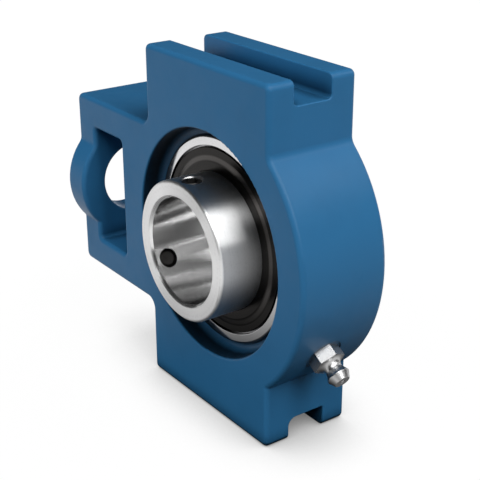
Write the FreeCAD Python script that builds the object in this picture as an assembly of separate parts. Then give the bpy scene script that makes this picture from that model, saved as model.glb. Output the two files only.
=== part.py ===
import FreeCAD, Part
import math
import os

# Take up bearing unit. Millimetres. The origin is the bearing's centre on the shaft axis.
# The shaft runs along Y with the long end of the inner ring to -Y. The adjusting screw enters from -X,
# and +Z is up. The unit stands on the two rails of its lower guide.

# Rings of the bearing insert, each measured outwards from the one before, starting at the shaft
bore_radius = 15.0
inner_ring_wall = 4.85
pitch_rise = 3.15
shoulder_rise = 2.9
seal_shelf = 1.1
outer_ring_rim = 4.0
inner_ring_radius = bore_radius + inner_ring_wall
pitch_radius = inner_ring_radius + pitch_rise
outer_shoulder_radius = pitch_radius + shoulder_rise
seal_recess_radius = outer_shoulder_radius + seal_shelf
seat_radius = seal_recess_radius + outer_ring_rim
inner_ring_front = 22.2
inner_ring_back = 15.9
bore_chamfer = 0.8
inner_ring_corner = 0.8
outer_ring_corner = 0.8
shoulder_edge = 0.3
seal_recess_edge = 0.15

# Balls, raceways and cage
ball_count = 9
ball_radius = 4.7625
ball_clearance = 0.02
raceway_ratio = 1.04
first_ball_angle = 90.0
cage_half_section = 1.8
cage_pocket_clearance = 0.1875
cage_base_thickness = 1.1
cage_prong_reach = 2.7
cage_relief_width = 2.4
cage_relief_depth = 4.2
cage_edge_radius = 0.3
pocket_radius = ball_radius + cage_pocket_clearance
cage_back = pocket_radius + cage_base_thickness

# Seals: a steel carrier in the outer ring and a rubber lip on the inner ring
seal_sheet = 0.6
seal_bend_radius = 0.54
seal_rim_depth = 1.2
seal_inset = 1.2
seal_window = 2.05
lip_bond = 0.8
lip_neck = 0.55
lip_thickness = 1.2
lip_reach = 0.25
lip_tip_width = 0.35
lip_edge_radius = 0.2
lip_clearance = 0.05
cage_to_lip = 0.25
seal_plate_inner_radius = inner_ring_radius + seal_window
lip_inner_face = cage_back + cage_to_lip
seal_step = lip_inner_face + (lip_thickness - seal_sheet) / 2
outer_ring_half_width = seal_step + seal_rim_depth + seal_inset

# Flingers, pressed on the inner ring, their rims just inside the faces of the outer ring
flinger_sheet = 0.6
flinger_recess = 0.2
flinger_inset = 0.55
flinger_rim_width = 2.0
flinger_cone_width = 2.05
flinger_crown_height = 0.35
flinger_collar_depth = 0.55
flinger_bend_offset = 0.25
flinger_bend_radius = 0.5
flinger_edge_radius = 0.22
sheet_edge_radius = 0.1
press = 0.01
flinger_radius = seal_recess_radius - flinger_inset

# Housing casting
half_width = 14.0
guide_half_length = 28.5
guide_half_height = 51.0
round_end_wall = 12.0
web = 13.0
nut_window_length = 16.0
nut_window_half_height = 18.5
nut_window_cover = 9.5
end_wall = 10.0
screw_hole_radius = 11.0
ring_boss_wall = 8.0
round_end_radius = seat_radius + round_end_wall
nut_window_far_x = -(seat_radius + web)
nut_window_near_x = nut_window_far_x - nut_window_length
end_face_x = nut_window_near_x - end_wall
end_half_height = nut_window_half_height + nut_window_cover
ring_boss_radius = screw_hole_radius + ring_boss_wall

# Roundings and blends of the casting
casting_edge_radius = 1.4
guide_corner_radius = 1.7
end_corner_radius = 2.2
end_junction_radius = 3.0
upper_junction_radius = 3.0
lower_junction_radius = 0.8
nut_window_corner_radius = 1.3
ring_boss_upper_blend = 2.6
ring_boss_lower_blend = 1.2
screw_hole_edge_radius = 0.7

# Guide grooves, along X, in the top and the bottom of the guide block
groove_half_width = 6.0
groove_depth = 6.5
groove_mouth_radius = 0.4
upper_root_radius = 1.2
lower_front_root_radius = 2.4
lower_back_root_radius = 0.6

# Bearing seat in the housing
seat_clearance = 0.03
ring_proud = 1.0
recess_step = 1.2
recess_flare = 0.5
recess_edge_radius = 0.6
recess_root_radius = 2.2
loading_slot_clearance = 0.3
seat_half_width = outer_ring_half_width - ring_proud
recess_floor_radius = seat_radius + recess_step
recess_mouth_radius = recess_floor_radius + recess_flare

# Set screws, M6 fine, drawn at the pitch diameter of their thread
thread_radius = 2.756
thread_clearance = 0.02
set_screw_inset = 4.5
set_screw_angles = (90.0, 210.0)
set_screw_below_surface = 0.3
set_screw_above_bore = 0.35
set_screw_socket = 3.0
set_screw_socket_depth = 2.2
set_screw_chamfer = 0.45
set_screw_point_taper = 0.86
set_screw_cup_width = 0.4
set_screw_cup_depth = 0.3
countersink_width = 0.57
set_screw_y = set_screw_inset - inner_ring_front

# Grease way: passage from the nipple, groove round the seat, holes in the outer ring
nipple_angle = -30.5
nipple_y = -1.6
grease_passage_radius = 1.5
grease_hole_y = -4.5
grease_hole_radius = 0.6
grease_groove_depth = 0.9
grease_groove_root = 0.5
grease_groove_margin = 0.4
grease_hole_spacing = 120.0

# Grease nipple with its check ball and spring
nipple_spot_depth = 0.3
nipple_spot_margin = 0.8
nipple_thread_length = 5.0
nipple_thread_chamfer = 0.4
nipple_hexagon = 8.0
nipple_hexagon_height = 3.4
nipple_waist_radius = 2.4
nipple_waist_length = 2.2
nipple_head_radius = 3.25
nipple_head_flare = 1.9
nipple_head_cone = 1.9
nipple_tip_radius = 2.2
nipple_edge_radius = 0.3
nipple_tip_edge_radius = 0.15
nipple_mouth_radius = 0.8
nipple_lip = 0.3
nipple_ball_radius = 1.0
nipple_ball_clearance = 0.03
nipple_channel_clearance = 0.08
nipple_spring_wire = 0.24
nipple_spring_wire_sides = 8
nipple_spring_turns = 5.0
nipple_spring_length = 4.6
nipple_spring_end_gap = 0.02
nipple_waist_top = nipple_hexagon_height + nipple_waist_length
nipple_head_top = nipple_waist_top + nipple_head_flare
nipple_height = nipple_head_top + nipple_head_cone
nipple_channel_radius = nipple_ball_radius + nipple_channel_clearance

# How far a cutter or a joining piece reaches past the face that it opens or meets
reach = 1.0

V = FreeCAD.Vector
X_AXIS = V(1, 0, 0)
Y_AXIS = V(0, 1, 0)
Z_AXIS = V(0, 0, 1)
ORIGIN = V(0, 0, 0)
NEAR = 1e-4
AT_CORNER = 0.01
EDGE_SAMPLES = (0.02, 0.25, 0.5, 0.75, 0.98)
SHARP_FROM = math.radians(8)


def rounded_wire(corners):
    """Closed wire in XZ through (x, z) or (x, z, radius) corners, rounded where a radius is given."""
    points = [V(c[0], 0, c[1]) for c in corners]
    radii = [c[2] if len(c) > 2 else 0.0 for c in corners]
    starts, ends, middles = [], [], []
    for i, point in enumerate(points):
        before = (points[i - 1] - point).normalize()
        after = (points[(i + 1) % len(points)] - point).normalize()
        half = before.getAngle(after) / 2
        tangent = radii[i] / math.tan(half)
        starts.append(point + before * tangent)
        ends.append(point + after * tangent)
        if radii[i] > 0:
            bisector = (before + after).normalize()
            middles.append(point + bisector * (radii[i] / math.sin(half) - radii[i]))
        else:
            middles.append(None)
    edges = []
    for i in range(len(points)):
        if middles[i] is not None:
            edges.append(Part.Arc(starts[i], middles[i], ends[i]).toShape())
        following = starts[(i + 1) % len(points)]
        if (following - ends[i]).Length > NEAR:
            edges.append(Part.LineSegment(ends[i], following).toShape())
    return Part.Wire(edges)


def turned(corners, direction=Y_AXIS):
    """Solid of revolution. Each corner is (radius, distance along the axis) with an optional rounding."""
    face = Part.Face(rounded_wire(corners))
    solid = face.revolve(ORIGIN, Z_AXIS, 360)
    solid.rotate(ORIGIN, *axis_turn(direction))
    return solid


def axis_turn(direction):
    """Axis and angle that turn +Z to a direction."""
    rotation = FreeCAD.Rotation(Z_AXIS, direction)
    return rotation.Axis, math.degrees(rotation.Angle)


def plate(corners, low, high, direction=Y_AXIS):
    """Prism with an outline in XZ, from low to high along Y, or turned so that it runs along X."""
    face = Part.Face(rounded_wire(corners))
    face.translate(V(0, low, 0))
    solid = face.extrude(V(0, high - low, 0))
    if direction == X_AXIS:
        solid.rotate(ORIGIN, Z_AXIS, -90)
    return solid


def box(low, high):
    """Box between two corners."""
    size = V(*high) - V(*low)
    return Part.makeBox(size.x, size.y, size.z, V(*low))


def rod(radius, low, high, direction=Z_AXIS):
    """Cylinder on an axis through the origin, between two distances along it."""
    return Part.makeCylinder(radius, high - low, direction * low, direction)


def radially(shape, angle, y):
    """A shape made along +Z, set along a radius of the bearing at an angle from +X towards +Z."""
    shape.rotate(ORIGIN, Y_AXIS, 90 - angle)
    shape.translate(V(0, y, 0))
    return shape


def mirrored_to_front(shape):
    """The copy at the front of a shape that lies at the back of the bearing."""
    return shape.mirror(ORIGIN, Y_AXIS)


def sample_points(edge):
    """Points along an edge."""
    first, last = edge.ParameterRange
    return [edge.valueAt(first + (last - first) * share) for share in EDGE_SAMPLES]


def edges_where(shape, test):
    """Edges of a shape whose every sampled point passes the test."""
    return [edge for edge in shape.Edges if all(test(point) for point in sample_points(edge))]


def is_sharp(shape, edge):
    """True where the two faces at an edge meet at an angle."""
    faces = shape.ancestorsOfType(edge, Part.Face)
    if len(faces) != 2:
        return False
    point = sample_points(edge)[2]
    normals = []
    for face in faces:
        u, v = face.Surface.parameter(point)
        normals.append(face.normalAt(u, v))
    return normals[0].getAngle(normals[1]) > SHARP_FROM


def filleted(shape, radius, test):
    """The shape with its sharp edges rounded where the test holds."""
    edges = [edge for edge in edges_where(shape, test) if is_sharp(shape, edge)]
    return shape.makeFillet(radius, edges) if edges else shape


def housing_blank():
    """Guide block, round end and end block, with their corners rounded in plan."""
    guide = plate(
        [
            (-guide_half_length, -guide_half_height, guide_corner_radius),
            (guide_half_length, -guide_half_height, guide_corner_radius),
            (guide_half_length, guide_half_height, guide_corner_radius),
            (-guide_half_length, guide_half_height, guide_corner_radius),
        ],
        -half_width,
        half_width,
    )
    end_block = plate(
        [
            (end_face_x, -end_half_height, end_corner_radius),
            (0, -end_half_height),
            (0, end_half_height),
            (end_face_x, end_half_height, end_corner_radius),
        ],
        -half_width,
        half_width,
    )
    right_half = box((0, -half_width, -round_end_radius), (round_end_radius, half_width, round_end_radius))
    round_end = rod(round_end_radius, -half_width, half_width, Y_AXIS).common(right_half)
    blank = guide.fuse([end_block, round_end]).removeSplitter()
    for side, radius in ((1, upper_junction_radius), (-1, lower_junction_radius)):
        blank = filleted(blank, radius, at_side_junction(side))
    for side in (1, -1):
        blank = filleted(blank, end_junction_radius, at_end_junction(side))
    return blank


def at_side_junction(side):
    """Where the round end leaves the flat side of the guide block, above or below."""
    z = side * math.sqrt(round_end_radius**2 - guide_half_length**2)
    return lambda p: abs(p.x - guide_half_length) < NEAR and abs(p.z - z) < AT_CORNER


def at_end_junction(side):
    """Where the end block meets the guide block, above or below."""
    return lambda p: abs(p.x + guide_half_length) < NEAR and abs(p.z - side * end_half_height) < NEAR


def with_ring_boss(blank):
    """Adds the ring boss to the end wall and blends its bulge into the flat faces."""
    boss = rod(ring_boss_radius, end_face_x, nut_window_near_x, X_AXIS)
    body = blank.fuse(boss).removeSplitter()
    for side, radius in ((1, ring_boss_upper_blend), (-1, ring_boss_lower_blend)):
        body = filleted(body, radius, at_ring_boss_root(side))
    return body


def at_ring_boss_root(side):
    """Where the bulge of the ring boss leaves the front and back faces, above or below."""
    z = side * math.sqrt(ring_boss_radius**2 - half_width**2)
    return lambda p: abs(abs(p.y) - half_width) < NEAR and abs(p.z - z) < AT_CORNER


def nut_window():
    """Opening for the adjusting nut, right through the end block."""
    near, far = nut_window_near_x, nut_window_far_x
    high = nut_window_half_height
    corner = nut_window_corner_radius
    side = max(half_width, ring_boss_radius) + reach
    return plate(
        [(near, -high, corner), (far, -high, corner), (far, high, corner), (near, high, corner)],
        -side,
        side,
    )


def at_casting_edge(p):
    """On the outline of the front and back faces, or on the rims of the ring boss."""
    on_face = abs(abs(p.y) - half_width) < NEAR
    on_rim = abs(p.x - end_face_x) < NEAR or abs(p.x - nut_window_near_x) < NEAR
    return on_face or (on_rim and abs(p.y) > half_width - NEAR)


def guide_groove(front_root, back_root):
    """Cutter for one guide groove, along X and open upwards, at its place in the top."""
    bottom = guide_half_height - groove_depth
    return plate(
        [
            (groove_half_width, bottom, front_root),
            (groove_half_width, guide_half_height + reach),
            (-groove_half_width, guide_half_height + reach),
            (-groove_half_width, bottom, back_root),
        ],
        -guide_half_length - reach,
        guide_half_length + reach,
        X_AXIS,
    )


def at_groove_edge(p):
    """On the mouth of a guide groove or where it opens in the ends of the guide block."""
    in_groove = abs(p.y) < groove_half_width + NEAR and abs(p.z) > guide_half_height - groove_depth - NEAR
    on_wall = abs(abs(p.y) - groove_half_width) < NEAR
    on_end = abs(abs(p.x) - guide_half_length) < NEAR
    return in_groove and (on_wall or on_end)


def bearing_seat():
    """Cutter for the bore: a spherical seat between two flared recesses, open at front and back."""
    sphere = Part.makeSphere(seat_radius + seat_clearance)
    band = rod(seat_radius + reach, -seat_half_width, seat_half_width, Y_AXIS)
    inside = outer_shoulder_radius
    past_mouth = recess_mouth_radius + 2 * recess_edge_radius
    recess = turned(
        [
            (0, seat_half_width - reach),
            (inside, seat_half_width - reach),
            (inside, seat_half_width),
            (recess_floor_radius, seat_half_width, recess_root_radius),
            (recess_mouth_radius, half_width, recess_edge_radius),
            (past_mouth, half_width),
            (past_mouth, half_width + reach),
            (0, half_width + reach),
        ]
    )
    return sphere.common(band).fuse([recess, mirrored_to_front(recess)])


def loading_slots():
    """Cutters for the two slots, above and below at the back, through which the insert is put in edge on."""
    slot_half_width = outer_ring_half_width + loading_slot_clearance
    deep = seat_radius + seat_clearance
    slot = box((-slot_half_width, 0, -deep), (slot_half_width, half_width, deep))
    return rod(deep, 0, half_width, Y_AXIS).common(slot)


def adjusting_screw_hole():
    """Cutter for the hole through the end wall, with rounded mouths."""
    edge = screw_hole_edge_radius
    wide = screw_hole_radius + 2 * edge
    hole = turned(
        [
            (0, -reach),
            (wide, -reach),
            (wide, 0),
            (screw_hole_radius, 0, edge),
            (screw_hole_radius, end_wall, edge),
            (wide, end_wall),
            (wide, end_wall + reach),
            (0, end_wall + reach),
        ],
        X_AXIS,
    )
    hole.translate(V(end_face_x, 0, 0))
    return hole


def grease_way():
    """Cutters for the groove between the ring's hole and the nipple's axis, and the way in from the flat."""
    inner = outer_shoulder_radius
    outer = math.sqrt(seat_radius**2 - grease_hole_y**2) + grease_groove_depth
    front = grease_hole_y - grease_hole_radius - grease_groove_margin
    root = grease_groove_root
    groove = turned([(inner, front), (outer, front, root), (outer, nipple_y, root), (inner, nipple_y)])
    seat = nipple_seat()
    spot_radius = to_corner(nipple_hexagon) + nipple_spot_margin
    way = rod(grease_passage_radius, inner, seat)
    thread = rod(thread_radius, seat - nipple_thread_length, seat)
    spot = rod(spot_radius, seat, seat + nipple_height)
    return [groove, radially(way.fuse([thread, spot]), nipple_angle, nipple_y)]


def nipple_seat():
    """Distance from the bearing's axis to the flat under the nipple's hexagon."""
    return round_end_radius - nipple_spot_depth


def housing():
    """The whole casting, machined."""
    body = with_ring_boss(housing_blank()).cut(nut_window())
    body = filleted(body, casting_edge_radius, at_casting_edge)
    lower = guide_groove(lower_front_root_radius, lower_back_root_radius)
    lower = lower.mirror(ORIGIN, Z_AXIS)
    body = body.cut([guide_groove(upper_root_radius, upper_root_radius), lower])
    body = filleted(body, groove_mouth_radius, at_groove_edge)
    body = body.cut([adjusting_screw_hole(), bearing_seat(), loading_slots()])
    return body.cut(grease_way())


def raceway(bottom_radius, side):
    """Torus that cuts a ball groove to a bottom radius, on the inner (-1) or outer (1) ring."""
    groove_radius = ball_radius * raceway_ratio
    return Part.makeTorus(bottom_radius - side * groove_radius, groove_radius, ORIGIN, Y_AXIS)


def outer_ring():
    """Ring with a spherical outside, a ball groove, a seal recess at each face and two grease holes."""
    half = outer_ring_half_width
    section = turned(
        [
            (seal_recess_radius, -half, seal_recess_edge),
            (seat_radius + reach, -half),
            (seat_radius + reach, half),
            (seal_recess_radius, half, seal_recess_edge),
            (seal_recess_radius, seal_step),
            (outer_shoulder_radius, seal_step, shoulder_edge),
            (outer_shoulder_radius, -seal_step, shoulder_edge),
            (seal_recess_radius, -seal_step),
        ]
    )
    ring = Part.makeSphere(seat_radius).common(section)
    rim = math.sqrt(seat_radius**2 - half**2)
    ring = filleted(ring, outer_ring_corner, lambda p: abs(math.hypot(p.x, p.z) - rim) < AT_CORNER)
    cutters = [raceway(pitch_radius + ball_radius + ball_clearance, 1)]
    for side, angle in ((1, nipple_angle), (-1, nipple_angle + grease_hole_spacing)):
        hole = rod(grease_hole_radius, pitch_radius, seat_radius + reach)
        cutters.append(radially(hole, angle, side * grease_hole_y))
    return ring.cut(cutters)


def inner_ring():
    """Wide inner ring with a ball groove and two tapped holes near its front end."""
    ring = turned(
        [
            (bore_radius, bore_chamfer - inner_ring_front),
            (bore_radius + bore_chamfer, -inner_ring_front),
            (inner_ring_radius, -inner_ring_front, inner_ring_corner),
            (inner_ring_radius, inner_ring_back, inner_ring_corner),
            (bore_radius + bore_chamfer, inner_ring_back),
            (bore_radius, inner_ring_back - bore_chamfer),
        ]
    )
    ring = ring.cut(raceway(pitch_radius - ball_radius - ball_clearance, -1))
    return ring.cut([set_screw_hole(angle) for angle in set_screw_angles])


def set_screw_hole(angle):
    """Cutter for one tapped hole with its countersink."""
    radius = thread_radius + thread_clearance
    sink = radius + countersink_width
    low = bore_radius - set_screw_inset
    hole = turned(
        [
            (0, low),
            (radius, low),
            (radius, inner_ring_radius - countersink_width),
            (sink, inner_ring_radius),
            (sink, inner_ring_radius + reach),
            (0, inner_ring_radius + reach),
        ],
        Z_AXIS,
    )
    return radially(hole, angle, set_screw_y)


def ball(index):
    """One ball in its place on the pitch circle."""
    angle = math.radians(first_ball_angle + index * 360 / ball_count)
    return Part.makeSphere(ball_radius, pitch_radius * V(math.cos(angle), 0, math.sin(angle)))


def ball_cage():
    """Crown cage: a ring behind the balls whose paired prongs reach round each ball towards the front."""
    inner = pitch_radius - cage_half_section
    outer = pitch_radius + cage_half_section
    cage = turned(
        [
            (inner, -cage_prong_reach, cage_edge_radius),
            (outer, -cage_prong_reach, cage_edge_radius),
            (outer, cage_back, cage_edge_radius),
            (inner, cage_back, cage_edge_radius),
        ]
    )
    cutters = []
    for i in range(ball_count):
        angle = first_ball_angle + i * 360 / ball_count
        cutters.append(radially(Part.makeSphere(pocket_radius, V(0, 0, pitch_radius)), angle, 0))
        cutters.append(radially(cage_relief(), angle + 180 / ball_count, 0))
    return cage.cut(cutters)


def cage_relief():
    """Cutter for the round-bottomed gap between the prongs of two neighbouring pockets, made along +Z."""
    half = cage_relief_width / 2
    bottom = cage_relief_depth - cage_prong_reach
    low = pitch_radius - cage_half_section - reach
    high = pitch_radius + cage_half_section + reach
    slot = box((-half, -cage_prong_reach - reach, low), (half, bottom - half, high))
    round_bottom = rod(half, low, high)
    round_bottom.translate(V(0, bottom - half, 0))
    return slot.fuse(round_bottom)


def seal_plate():
    """Pressed-steel seal carrier at the back: a washer with a turned-up rim, seated in the outer ring."""
    outer = seal_recess_radius + press
    return turned(
        [
            (seal_plate_inner_radius, seal_step),
            (outer, seal_step, seal_bend_radius),
            (outer, seal_step + seal_rim_depth, sheet_edge_radius),
            (outer - seal_sheet, seal_step + seal_rim_depth, sheet_edge_radius),
            (outer - seal_sheet, seal_step + seal_sheet, sheet_edge_radius),
            (seal_plate_inner_radius, seal_step + seal_sheet),
        ]
    )


def seal_lip():
    """Rubber lip at the back, bonded round the carrier's inner edge and tapered down to the inner ring."""
    tip = inner_ring_radius + lip_clearance
    root = seal_plate_inner_radius + lip_bond
    neck = seal_plate_inner_radius - lip_neck
    outer_face = lip_inner_face + lip_thickness
    tip_face = outer_face + lip_reach
    lip = turned(
        [
            (root, lip_inner_face),
            (root, outer_face, lip_edge_radius),
            (neck, outer_face, lip_edge_radius),
            (tip, tip_face),
            (tip, tip_face - lip_tip_width),
            (neck, lip_inner_face, lip_edge_radius),
        ]
    )
    return lip.cut(seal_plate())


def flinger():
    """Pressed flinger at the back: a collar on the inner ring, a raised crown, a cone and a flat rim."""
    rim_out = outer_ring_half_width - flinger_recess
    rim_in = rim_out - flinger_sheet
    crown_in = rim_in + flinger_crown_height
    crown_out = crown_in + flinger_sheet
    seat = inner_ring_radius - press
    collar_end = crown_in - flinger_collar_depth
    cone_foot = flinger_radius - flinger_rim_width
    cone_head = cone_foot - flinger_cone_width
    return turned(
        [
            (seat, crown_out, flinger_edge_radius),
            (cone_head, crown_out, flinger_bend_radius),
            (cone_foot, rim_out, flinger_bend_radius),
            (flinger_radius, rim_out, flinger_edge_radius),
            (flinger_radius, rim_in, flinger_edge_radius),
            (cone_foot - flinger_bend_offset, rim_in, flinger_bend_radius),
            (cone_head - flinger_bend_offset, crown_in, flinger_bend_radius),
            (seat + flinger_sheet, crown_in, sheet_edge_radius),
            (seat + flinger_sheet, collar_end),
            (seat, collar_end),
        ]
    )


def polygon(sides, corner_radius, low=0.0):
    """Regular polygon round +Z with a corner towards +X."""
    points = []
    for i in range(sides + 1):
        turn = 2 * math.pi * i / sides
        points.append(V(corner_radius * math.cos(turn), corner_radius * math.sin(turn), low))
    return Part.makePolygon(points)


def to_corner(across_flats):
    """Distance from a hexagon's centre to its corners."""
    return across_flats / math.sqrt(3)


def hexagon(across_flats, low, high):
    """Hexagonal prism along +Z with a corner towards +X."""
    return Part.Face(polygon(6, to_corner(across_flats), low)).extrude(V(0, 0, high - low))


def set_screw(angle):
    """Hexagon-socket set screw with a cup point, in its tapped hole."""
    low = bore_radius + set_screw_above_bore
    high = inner_ring_radius - set_screw_below_surface
    radius = thread_radius - thread_clearance
    point_radius = radius - set_screw_point_taper
    screw = turned(
        [
            (0, low + set_screw_cup_depth),
            (point_radius - set_screw_cup_width, low),
            (point_radius, low),
            (radius, low + set_screw_point_taper),
            (radius, high - set_screw_chamfer),
            (radius - set_screw_chamfer, high),
            (0, high),
        ],
        Z_AXIS,
    )
    screw = screw.cut(hexagon(set_screw_socket, high - set_screw_socket_depth, high + reach))
    return radially(screw, angle, set_screw_y)


def grease_nipple():
    """Straight nipple: thread, hexagon, flared waist, cone head and the channel for its ball and spring."""
    seat = nipple_seat()
    low = seat - nipple_thread_length
    joined = seat + reach
    shank = turned(
        [
            (0, low),
            (thread_radius + press, low, nipple_thread_chamfer),
            (thread_radius + press, joined),
            (0, joined),
        ],
        Z_AXIS,
    )
    head = turned(
        [
            (0, joined),
            (nipple_waist_radius, joined),
            (nipple_waist_radius, seat + nipple_waist_top, nipple_edge_radius),
            (nipple_head_radius, seat + nipple_head_top, nipple_edge_radius),
            (nipple_tip_radius, seat + nipple_height, nipple_tip_edge_radius),
            (0, seat + nipple_height),
        ],
        Z_AXIS,
    )
    body = hexagon(nipple_hexagon, seat, seat + nipple_hexagon_height).fuse([shank, head, nipple_flare()])
    channel_top = seat + nipple_height - nipple_lip
    channel = rod(nipple_channel_radius, channel_top - nipple_channel_depth(), channel_top)
    way = rod(nipple_mouth_radius, low - reach, seat + nipple_height + reach)
    return radially(body.cut([channel, way]).removeSplitter(), nipple_angle, nipple_y)


def nipple_flare():
    """Concave flare from the top of the nipple's hexagon into its waist, flush with the hexagon's flats."""
    foot = nipple_seat() + nipple_hexagon_height
    blend = nipple_waist_length - nipple_edge_radius
    wide = nipple_waist_radius + blend
    top = foot + blend
    flare = turned(
        [
            (0, foot - reach),
            (wide, foot - reach),
            (wide, foot),
            (nipple_waist_radius, foot, blend),
            (nipple_waist_radius, top),
            (0, top),
        ],
        Z_AXIS,
    )
    return flare.common(hexagon(nipple_hexagon, foot - reach, top))


def nipple_seat_drop():
    """Distance from the edge of the nipple's mouth down to the centre of a ball that closes it."""
    return math.sqrt(nipple_ball_radius**2 - nipple_mouth_radius**2)


def nipple_ball_height():
    """Distance from the bearing's axis to the check ball's centre, the ball just off its seat."""
    mouth = nipple_seat() + nipple_height - nipple_lip
    return mouth - nipple_seat_drop() - nipple_ball_clearance


def nipple_channel_depth():
    """Length of the nipple's wide channel, which holds the ball and the spring."""
    return nipple_seat_drop() + nipple_ball_clearance + nipple_ball_radius + nipple_spring_length


def nipple_ball():
    """Check ball behind the nipple's mouth."""
    centre = V(0, 0, nipple_ball_height())
    return radially(Part.makeSphere(nipple_ball_radius, centre), nipple_angle, nipple_y)


def nipple_spring():
    """Helical spring between the check ball and the end of the channel."""
    wire = nipple_spring_wire / 2
    coil = nipple_ball_radius - wire
    length = nipple_spring_length - 2 * (wire + nipple_spring_end_gap)
    helix = Part.makeHelix(length / nipple_spring_turns, length, coil)
    section = polygon(nipple_spring_wire_sides, wire)
    section.rotate(ORIGIN, X_AXIS, 90)
    section.translate(V(coil, 0, 0))
    spring = Part.Wire(helix.Edges).makePipeShell([section], True, True)
    low = nipple_ball_height() - nipple_ball_radius - nipple_spring_length
    spring.translate(V(0, 0, low + wire + nipple_spring_end_gap))
    return radially(spring, nipple_angle, nipple_y)


def pieces():
    """Every piece by the name of its node."""
    named = {
        "housing": housing(),
        "outer_ring": outer_ring(),
        "inner_ring": inner_ring(),
        "ball_cage": ball_cage(),
        "back_seal_plate": seal_plate(),
        "front_seal_plate": mirrored_to_front(seal_plate()),
        "back_seal_lip": seal_lip(),
        "front_seal_lip": mirrored_to_front(seal_lip()),
        "back_flinger": flinger(),
        "front_flinger": mirrored_to_front(flinger()),
        "grease_nipple": grease_nipple(),
        "nipple_ball": nipple_ball(),
        "nipple_spring": nipple_spring(),
    }
    for i in range(ball_count):
        named[f"ball_{i + 1}"] = ball(i)
    for i, angle in enumerate(set_screw_angles):
        named[f"set_screw_{i + 1}"] = set_screw(angle)
    return named


os.makedirs("parts", exist_ok=True)
for name, shape in pieces().items():
    shape.exportStep(f"parts/{name}.step")
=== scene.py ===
import math

import bpy
from mathutils import Matrix, Vector


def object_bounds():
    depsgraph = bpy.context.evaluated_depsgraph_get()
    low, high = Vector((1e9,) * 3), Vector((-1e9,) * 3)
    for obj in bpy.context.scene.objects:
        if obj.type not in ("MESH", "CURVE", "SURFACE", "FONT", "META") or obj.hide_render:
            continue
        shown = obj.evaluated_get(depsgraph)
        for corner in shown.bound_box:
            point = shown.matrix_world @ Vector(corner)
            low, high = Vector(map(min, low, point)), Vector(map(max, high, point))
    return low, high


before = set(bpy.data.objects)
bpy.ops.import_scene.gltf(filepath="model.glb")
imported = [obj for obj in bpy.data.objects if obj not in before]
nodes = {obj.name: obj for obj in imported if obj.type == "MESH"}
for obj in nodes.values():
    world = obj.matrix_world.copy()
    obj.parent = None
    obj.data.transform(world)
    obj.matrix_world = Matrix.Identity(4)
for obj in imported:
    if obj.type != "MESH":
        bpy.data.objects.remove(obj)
cad_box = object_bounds()

MM = 0.001
WHITE = (1.0, 1.0, 1.0)
BLACK = (0.0, 0.0, 0.0)
QUARTER_TURN = 0.25

# The photograph's camera, worked out from the outline of the housing
PICTURE_SIZE = 480.0
CAMERA_AZIMUTH = 54.12
CAMERA_ELEVATION = 22.88
CAMERA_ROLL = -0.18
CAMERA_DISTANCE = 312.78 * MM
CAMERA_TARGET = Vector((-2.62, 0.0, -2.89)) * MM
CAMERA_NEAREST = 0.01
CAMERA_FARTHEST = 50.0
FOCAL_PIXELS = 1098.1
SENSOR_WIDTH = 36.0

# Surroundings in reflections: nearly black, and white towards +X, with a soft edge between
WORLD_LEFT = 0.04
WORLD_RIGHT = 1.0
WORLD_EDGE = (0.7, 0.95)

# Floor: how bright the camera and reflections see it, near the object and further off; dark in
# reflections near the object, a painted shade
FLOOR_REACH = 3.0
FLOOR_COLOR = (0.03, 0.03, 0.03)
FLOOR_SEEN = (0.975, 1.0)
FLOOR_SEEN_EDGE = (90.0 * MM, 220.0 * MM)
FLOOR_MIRRORED = (0.0, 0.86)
FLOOR_MIRRORED_EDGE = (60.0 * MM, 110.0 * MM)
# Painted contact shadow: the floor's glow darkens in the corners next to the object, not by the
# lamps
CONTACT_SHADOW = 0.1
CONTACT_SHADOW_REACH = 30.0 * MM

# Housing: painted shade darkens its corners over a longer way inside the rim of the recess than
# outside it
PAINT_BLUE = (0.027, 0.150, 0.322)
RECESS_RIM = (33.5 * MM, 35.5 * MM)
RECESS_SHADE_REACH = 22.0 * MM
FACE_SHADE_REACH = 7.0 * MM

# Inner ring: the bore ends at this rim, and painted shade darkens its corners over a longer way than
# those outside
BORE_RIM = (15.4 * MM, 15.8 * MM)
BORE_SHADE_REACH = 27.0 * MM
OUTSIDE_SHADE_REACH = 11.0 * MM

# Flinger: black, with a painted reflection, a lighter band round its cone between two soft edges
FLINGER_BLACK = (0.019, 0.0175, 0.0165)
FLINGER_PAINTED_SHEEN = (0.085, 0.08, 0.077)
BAND_INNER_EDGE = (22.6 * MM, 23.1 * MM)
BAND_OUTER_EDGE = (23.9 * MM, 24.4 * MM)

# Painted shade: colour in the closest corners, as a share of the colour in the open
PAINTED_CORNER_SHADE = 0.02


def direction(azimuth, elevation):
    """Unit vector from the object towards a viewer or lamp: azimuth 0 is at -Y and 90 at +X."""
    around = math.radians(azimuth)
    up = math.radians(elevation)
    level = math.cos(up)
    return Vector((math.sin(around) * level, -math.cos(around) * level, math.sin(up)))


def facing(unit):
    """Turn of a camera or lamp that stands along a unit vector and faces the object."""
    return (-unit).to_track_quat("-Z", "Y")


def add_object(name, data):
    """Adds an object to the scene."""
    made = bpy.data.objects.new(name, data)
    bpy.context.scene.collection.objects.link(made)
    return made


def add_camera():
    """Camera at the photograph's viewing angle."""
    data = bpy.data.cameras.new("camera")
    data.sensor_width = SENSOR_WIDTH
    data.lens = SENSOR_WIDTH * FOCAL_PIXELS / PICTURE_SIZE
    data.clip_start = CAMERA_NEAREST
    data.clip_end = CAMERA_FARTHEST
    back = direction(CAMERA_AZIMUTH, CAMERA_ELEVATION)
    roll = Matrix.Rotation(math.radians(CAMERA_ROLL), 3, "Z")
    turn = facing(back).to_matrix() @ roll
    camera = add_object("camera", data)
    camera.matrix_world = Matrix.Translation(CAMERA_TARGET + back * CAMERA_DISTANCE) @ turn.to_4x4()
    bpy.context.scene.camera = camera


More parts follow.
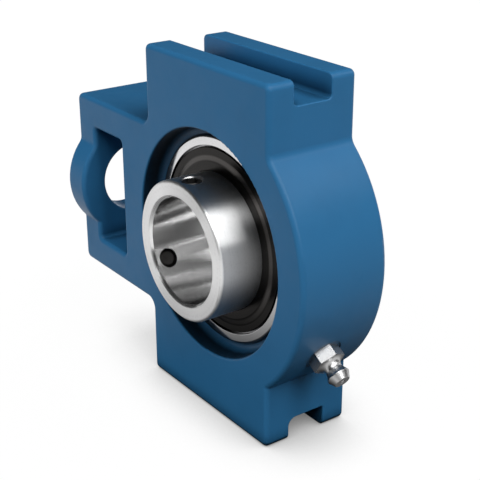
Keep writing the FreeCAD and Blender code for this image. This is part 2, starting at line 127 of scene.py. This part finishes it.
def add_lamp(name, azimuth, elevation, size, power, distance=0.9, mirrored=True):
    """Soft box that faces the object, seen in reflections or not."""
    data = bpy.data.lights.new(name, "AREA")
    data.shape = "RECTANGLE"
    data.size, data.size_y = size
    data.energy = power
    unit = direction(azimuth, elevation)
    lamp = add_object(name, data)
    lamp.location = unit * distance
    lamp.rotation_mode = "QUATERNION"
    lamp.rotation_quaternion = facing(unit)
    lamp.visible_glossy = mirrored


class NodeTree:
    """Shading nodes that are added one by one."""

    def __init__(self, tree):
        self.nodes = tree.nodes
        self.links = tree.links

    def node(self, kind, **settings):
        """Adds a node with these settings."""
        made = self.nodes.new(kind)
        for key, value in settings.items():
            setattr(made, key, value)
        return made

    def feed(self, socket, value):
        """Gives a socket a number or colour, or the result of another socket."""
        if isinstance(value, bpy.types.NodeSocket):
            self.links.new(value, socket)
        else:
            socket.default_value = value

    def math(self, operation, first, second=0.0):
        """Sum, product or the like of two numbers. A square root takes one."""
        made = self.node("ShaderNodeMath", operation=operation)
        self.feed(made.inputs[0], first)
        self.feed(made.inputs[1], second)
        return made.outputs[0]

    def spread(self, factor, low, high, start=0.3, end=0.7):
        """Maps a factor from start..end to low..high."""
        made = self.node("ShaderNodeMapRange")
        self.feed(made.inputs["Value"], factor)
        self.feed(made.inputs["From Min"], start)
        self.feed(made.inputs["From Max"], end)
        self.feed(made.inputs["To Min"], low)
        self.feed(made.inputs["To Max"], high)
        return made.outputs["Result"]


class Material(NodeTree):
    """A procedural material. Its plain colour and roughness stand in where nodes aren't read."""

    def __init__(self, name, color, roughness, **sockets):
        self.material = bpy.data.materials.new(name)
        self.material.use_nodes = True
        super().__init__(self.material.node_tree)
        self.shader = self.nodes["Principled BSDF"]
        self.set("Base Color", (*color, 1.0))
        self.set("Roughness", roughness)
        for socket, value in sockets.items():
            self.set(socket.replace("_", " "), value)

    def set(self, socket, value):
        """Gives the shader a number or colour, or the result of a socket."""
        self.feed(self.shader.inputs[socket], value)

    def place(self):
        """The point's place on the piece, in metres."""
        return self.node("ShaderNodeTexCoord").outputs["Object"]

    def turning(self):
        """The point's distance from the shaft axis, and that joined with its place along it."""
        parts = self.node("ShaderNodeSeparateXYZ")
        self.feed(parts.inputs[0], self.place())
        x, y, z = parts.outputs
        squares = self.math("ADD", self.math("MULTIPLY", x, x), self.math("MULTIPLY", z, z))
        radius = self.math("SQRT", squares)
        joined = self.node("ShaderNodeCombineXYZ")
        self.feed(joined.inputs["X"], radius)
        self.feed(joined.inputs["Y"], y)
        return radius, joined.outputs[0]

    def noise(self, vector, scale, detail=2.0, roughness=0.5):
        """Soft noise with about so many patches to the metre."""
        made = self.node("ShaderNodeTexNoise")
        self.feed(made.inputs["Vector"], vector)
        self.feed(made.inputs["Scale"], scale)
        self.feed(made.inputs["Detail"], detail)
        self.feed(made.inputs["Roughness"], roughness)
        return made.outputs["Fac"]

    def tint(self, factor, dark, light):
        """Colour between two colours by a factor."""
        made = self.node("ShaderNodeMix", data_type="RGBA")
        self.feed(made.inputs["Factor"], factor)
        self.feed(made.inputs["A"], (*dark, 1.0))
        self.feed(made.inputs["B"], (*light, 1.0))
        return made.outputs["Result"]

    def corners(self, reach, low, closed, clear, samples=8):
        """Painted shade: a factor that falls from 1 in the open to a low value in corners, over a
        reach in metres.
        """
        share = self.node("ShaderNodeAmbientOcclusion", samples=samples)
        self.feed(share.inputs["Distance"], reach)
        return self.spread(share.outputs["AO"], low, 1.0, closed, clear)

    def bump(self, height, depth, below=None):
        """Relief of a depth in metres, over another one where given."""
        made = self.node("ShaderNodeBump")
        self.feed(made.inputs["Strength"], 1.0)
        self.feed(made.inputs["Distance"], depth)
        self.feed(made.inputs["Height"], height)
        if below is not None:
            self.feed(made.inputs["Normal"], below)
        self.set("Normal", made.outputs["Normal"])
        return made.outputs["Normal"]


def add_world():
    """Surroundings that are white to the camera, and in reflections white only to the right."""
    world = bpy.data.worlds.new("world")
    bpy.context.scene.world = world
    world.use_nodes = True
    world.node_tree.nodes.clear()
    sky = NodeTree(world.node_tree)
    rays = sky.node("ShaderNodeLightPath").outputs
    way = sky.node("ShaderNodeSeparateXYZ")
    sky.feed(way.inputs[0], sky.node("ShaderNodeTexCoord").outputs["Generated"])
    side = sky.spread(way.outputs["X"], WORLD_LEFT, WORLD_RIGHT, *WORLD_EDGE)
    mirrored = sky.math("MULTIPLY", rays["Is Glossy Ray"], side)
    direct = sky.math("MAXIMUM", rays["Is Camera Ray"], rays["Is Transmission Ray"])
    background = sky.node("ShaderNodeBackground")
    sky.feed(background.inputs["Color"], (*WHITE, 1.0))
    sky.feed(background.inputs["Strength"], sky.math("MAXIMUM", direct, mirrored))
    output = sky.node("ShaderNodeOutputWorld")
    sky.feed(output.inputs["Surface"], background.outputs[0])


def floor_finish():
    """Dark to the lamps, white to the camera but for a painted contact shadow, pale in reflections
    but for painted shade near the object.
    """
    m = Material("floor", FLOOR_COLOR, roughness=0.9, Specular_IOR_Level=0.0)
    m.set("Emission Color", (*WHITE, 1.0))
    rays = m.node("ShaderNodeLightPath").outputs
    length = m.node("ShaderNodeVectorMath", operation="LENGTH")
    m.feed(length.inputs[0], m.place())
    away = length.outputs["Value"]
    seen = m.spread(away, *FLOOR_SEEN, *FLOOR_SEEN_EDGE)
    # Painted shadow: the glow the camera sees darkens in the corners by the object
    shadow = m.corners(CONTACT_SHADOW_REACH, CONTACT_SHADOW, closed=0.0, clear=0.8, samples=12)
    to_camera = m.math("MULTIPLY", rays["Is Camera Ray"], m.math("MULTIPLY", seen, shadow))
    # Painted shade in reflections: black near the object, pale further off
    mirrored = m.spread(away, *FLOOR_MIRRORED, *FLOOR_MIRRORED_EDGE)
    to_metal = m.math("MULTIPLY", rays["Is Glossy Ray"], mirrored)
    m.set("Emission Strength", m.math("ADD", to_camera, to_metal))
    return m.material


def add_floor():
    """Plain pale floor under the rails."""
    x = y = FLOOR_REACH
    z = cad_box[0].z
    mesh = bpy.data.meshes.new("floor")
    mesh.from_pydata([(-x, -y, z), (x, -y, z), (x, y, z), (-x, y, z)], [], [(0, 1, 2, 3)])
    mesh.materials.append(floor_finish())
    add_object("floor", mesh)


def shaded(color, share):
    """A colour made lighter or darker by a share."""
    return tuple(min(1.0, c * share) for c in color)


def housing_paint():
    """Satin enamel over cast iron: soft relief, fine paint grain, a slightly uneven colour and
    painted shade in its corners and recess.
    """
    m = Material("housing_paint", PAINT_BLUE, roughness=0.38, Specular_IOR_Level=0.17)
    place = m.place()
    radius, _ = m.turning()
    uneven = m.spread(m.noise(place, scale=70.0, detail=3.0), low=0.94, high=1.06)
    reach = m.spread(radius, RECESS_SHADE_REACH, FACE_SHADE_REACH, *RECESS_RIM)
    # Painted shade: the blue darkens towards black in corners and in the recess
    painted_shade_share = m.corners(reach, PAINTED_CORNER_SHADE, closed=0.35, clear=0.9)
    m.set("Base Color", m.tint(m.math("MULTIPLY", uneven, painted_shade_share), BLACK, PAINT_BLUE))
    m.set("Roughness", m.spread(m.noise(place, scale=240.0, detail=3.0), low=0.34, high=0.42))
    waves = m.bump(m.noise(place, scale=110.0), depth=0.1 * MM)
    m.bump(m.noise(place, scale=1500.0, detail=3.0, roughness=0.6), depth=0.01 * MM, below=waves)
    return m.material


def turned_steel(name, color, bore_roughness, roughness, anisotropy):
    """Ground steel: lines round the shaft axis that stretch reflections, smoother in the bore, with
    painted shade in its corners and bore.
    """
    m = Material(name, color, roughness, Metallic=1.0)
    m.set("Anisotropic", anisotropy)
    m.set("Anisotropic Rotation", QUARTER_TURN)
    tangent = m.node("ShaderNodeTangent", direction_type="RADIAL", axis="Y")
    m.set("Tangent", tangent.outputs["Tangent"])
    radius, lines = m.turning()
    grain = m.math("ADD", m.noise(lines, scale=2500.0), m.noise(m.place(), scale=1400.0))
    uneven = m.spread(grain, low=0.93, high=1.07, start=0.7, end=1.3)
    reach = m.spread(radius, BORE_SHADE_REACH, OUTSIDE_SHADE_REACH, *BORE_RIM)
    # Painted shade: the steel darkens towards black in corners, deepest in the bore
    painted_shade_share = m.corners(reach, PAINTED_CORNER_SHADE, closed=0.25, clear=0.75)
    m.set("Base Color", m.tint(m.math("MULTIPLY", uneven, painted_shade_share), BLACK, color))
    rough = m.spread(radius, bore_roughness, roughness, *BORE_RIM)
    streaks = m.spread(m.noise(lines, scale=5000.0, detail=3.0), low=0.9, high=1.1)
    m.set("Roughness", m.math("MULTIPLY", rough, streaks))
    m.bump(m.noise(lines, scale=7000.0, detail=3.0), depth=0.0012 * MM)
    return m.material


def flinger_steel():
    """Black pressed sheet with a soft gloss, and a painted reflection that makes its cone lighter.
    """
    m = Material("flinger_steel", FLINGER_BLACK, roughness=0.24, Metallic=1.0)
    radius, lines = m.turning()
    inner = m.spread(radius, 0.0, 1.0, *BAND_INNER_EDGE)
    outer = m.spread(radius, 1.0, 0.0, *BAND_OUTER_EDGE)
    # Painted reflection: the cone's band is lighter in the colour itself
    m.set("Base Color", m.tint(m.math("MULTIPLY", inner, outer), FLINGER_BLACK, FLINGER_PAINTED_SHEEN))
    m.set("Roughness", m.spread(m.noise(lines, scale=3000.0), low=0.2, high=0.28))
    m.bump(m.noise(lines, scale=1500.0), depth=0.002 * MM)
    return m.material


def plain_steel(name, color, roughness):
    """Blackened, plated or rolled steel with a faint grain."""
    m = Material(name, color, roughness, Metallic=1.0)
    place = m.place()
    m.set("Base Color", m.tint(m.noise(place, scale=300.0), shaded(color, 0.9), shaded(color, 1.1)))
    grain = m.noise(place, scale=700.0)
    m.set("Roughness", m.spread(grain, low=roughness * 0.88, high=roughness * 1.12))
    return m.material


def moulded(name, color, roughness):
    """Moulded plastic or rubber with a fine grain."""
    m = Material(name, color, roughness)
    place = m.place()
    m.set("Base Color", m.tint(m.noise(place, scale=400.0), shaded(color, 0.9), shaded(color, 1.1)))
    m.bump(m.noise(place, scale=2500.0), depth=0.01 * MM)
    return m.material


def dress(material, *names):
    """Gives CAD nodes a material."""
    for name in names:
        mesh = nodes[name].data
        mesh.materials.clear()
        mesh.materials.append(material)


add_camera()
add_world()
add_floor()
add_lamp("front", azimuth=-14, elevation=14, size=(0.9, 0.42), power=4.1, mirrored=False)
add_lamp("key", azimuth=48, elevation=50, size=(0.36, 0.42), power=2.6)
add_lamp("side", azimuth=91, elevation=46, size=(0.3, 0.9), power=5.3)
add_lamp("rim", azimuth=134, elevation=44, size=(0.4, 0.5), power=1.7)
add_lamp("back", azimuth=180, elevation=20, size=(0.42, 0.4), power=0.8)
add_lamp("bore", azimuth=238, elevation=8, size=(0.04, 0.024), power=0.022, distance=0.15)

ground = turned_steel(
    "ground_steel", (0.88, 0.88, 0.88), bore_roughness=0.2, roughness=0.38, anisotropy=0.9
)
polished = turned_steel(
    "outer_ring_steel", (0.8, 0.8, 0.81), bore_roughness=0.1, roughness=0.1, anisotropy=0.0
)
oxide = plain_steel("black_oxide", (0.07, 0.068, 0.066), roughness=0.5)
plated = plain_steel("nipple_steel", (0.52, 0.52, 0.52), roughness=0.3)
sheet = plain_steel("sheet_steel", (0.42, 0.42, 0.43), roughness=0.35)
wire = plain_steel("spring_steel", (0.5, 0.5, 0.5), roughness=0.3)
mirror = plain_steel("ball_steel", (0.72, 0.72, 0.73), roughness=0.06)
plastic = moulded("cage_plastic", (0.72, 0.66, 0.52), roughness=0.5)
rubber = moulded("seal_rubber", (0.02, 0.02, 0.021), roughness=0.6)
balls = [name for name in nodes if name.startswith("ball_") and name != "ball_cage"]

dress(housing_paint(), "housing")
dress(ground, "inner_ring")
dress(polished, "outer_ring")
dress(flinger_steel(), "front_flinger", "back_flinger")
dress(oxide, "set_screw_1", "set_screw_2")
dress(plated, "grease_nipple")
dress(sheet, "front_seal_plate", "back_seal_plate")
dress(wire, "nipple_spring")
dress(mirror, "nipple_ball", *balls)
dress(plastic, "ball_cage")
dress(rubber, "front_seal_lip", "back_seal_lip")

bpy.context.scene.view_settings.view_transform = "Standard"
